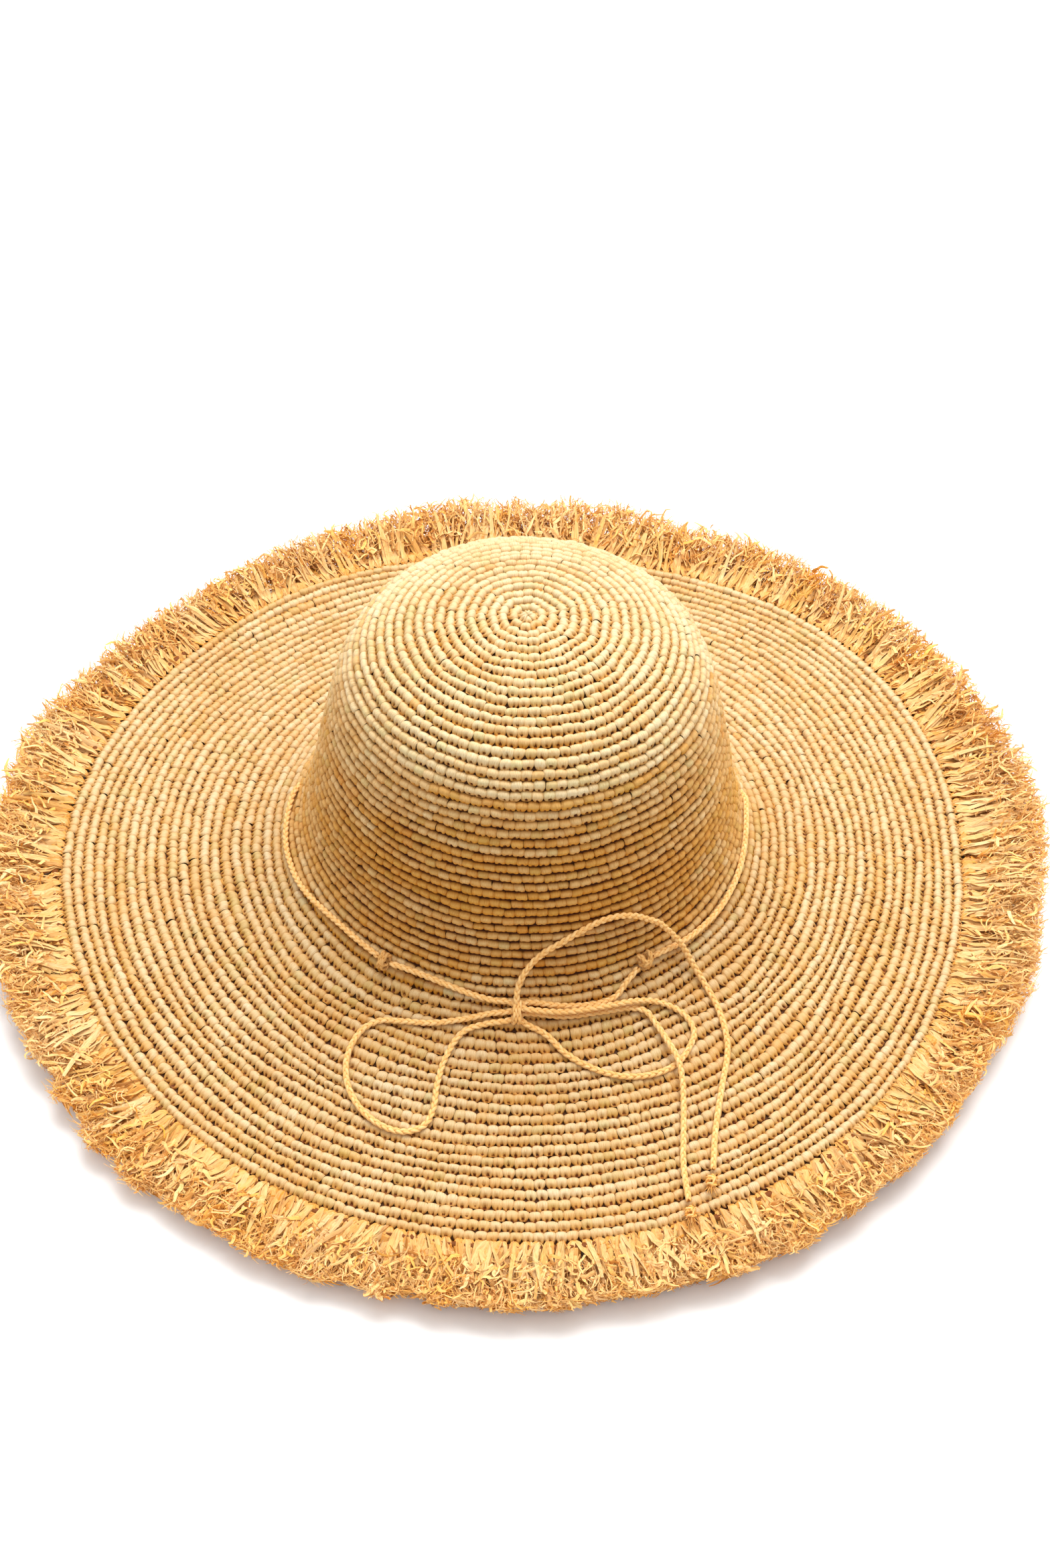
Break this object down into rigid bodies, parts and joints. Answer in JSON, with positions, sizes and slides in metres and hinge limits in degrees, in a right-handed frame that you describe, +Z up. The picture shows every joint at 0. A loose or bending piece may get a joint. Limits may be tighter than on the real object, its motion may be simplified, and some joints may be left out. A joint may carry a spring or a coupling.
{
  "type": "straw sun hat",
  "caption": "Crocheted raffia sun hat with a domed crown, wide soft brim, frayed raffia fringe and a thin cord band tied in a bow.",
  "frame": {"origin": "on the ground plane under the middle of the hat, which is also the crown's axis", "axes": "+Z up out of the crown, -Y to the front where the bow is, +X to the right as seen from the front"},
  "size_m": [0.4926, 0.4909, 0.155],
  "materials": {
    "raffia_crochet": "matt, crocheted",
    "raffia_brim": "matt, crocheted",
    "raffia_edge": "matt, crocheted",
    "raffia_fringe": "satin, split ribbons",
    "raffia_cord": "satin, plaited",
    "raffia_knot": "satin",
    "cotton_ribbon": "matt, woven",
    "sewing_thread": "matt"
  },
  "bodies": {
    "root": {"crown": "raffia_crochet", "brim": "raffia_brim", "brim_edge_round": "raffia_edge", "fringe_01": "raffia_fringe", "fringe_02": "raffia_fringe", "fringe_03": "raffia_fringe", "fringe_04": "raffia_fringe", "fringe_05": "raffia_fringe", "fringe_06": "raffia_fringe", "fringe_07": "raffia_fringe", "fringe_08": "raffia_fringe", "fringe_09": "raffia_fringe", "fringe_10": "raffia_fringe", "fringe_11": "raffia_fringe", "fringe_12": "raffia_fringe", "fringe_13": "raffia_fringe", "fringe_14": "raffia_fringe", "fringe_15": "raffia_fringe", "fringe_16": "raffia_fringe", "sweatband": "cotton_ribbon", "sweatband_stitching": "sewing_thread", "band_cord": "raffia_cord", "keeper_left": "raffia_knot", "keeper_right": "raffia_knot", "bow_knot": "raffia_knot", "bow_lead_left": "raffia_cord", "bow_lead_right": "raffia_cord", "bow_loop_left": "raffia_cord", "bow_loop_right": "raffia_cord", "bow_tail_arched": "raffia_cord", "bow_tail_long": "raffia_cord", "tail_knot_arched": "raffia_fringe", "tail_knot_long": "raffia_fringe"}
  },
  "joints": []
}
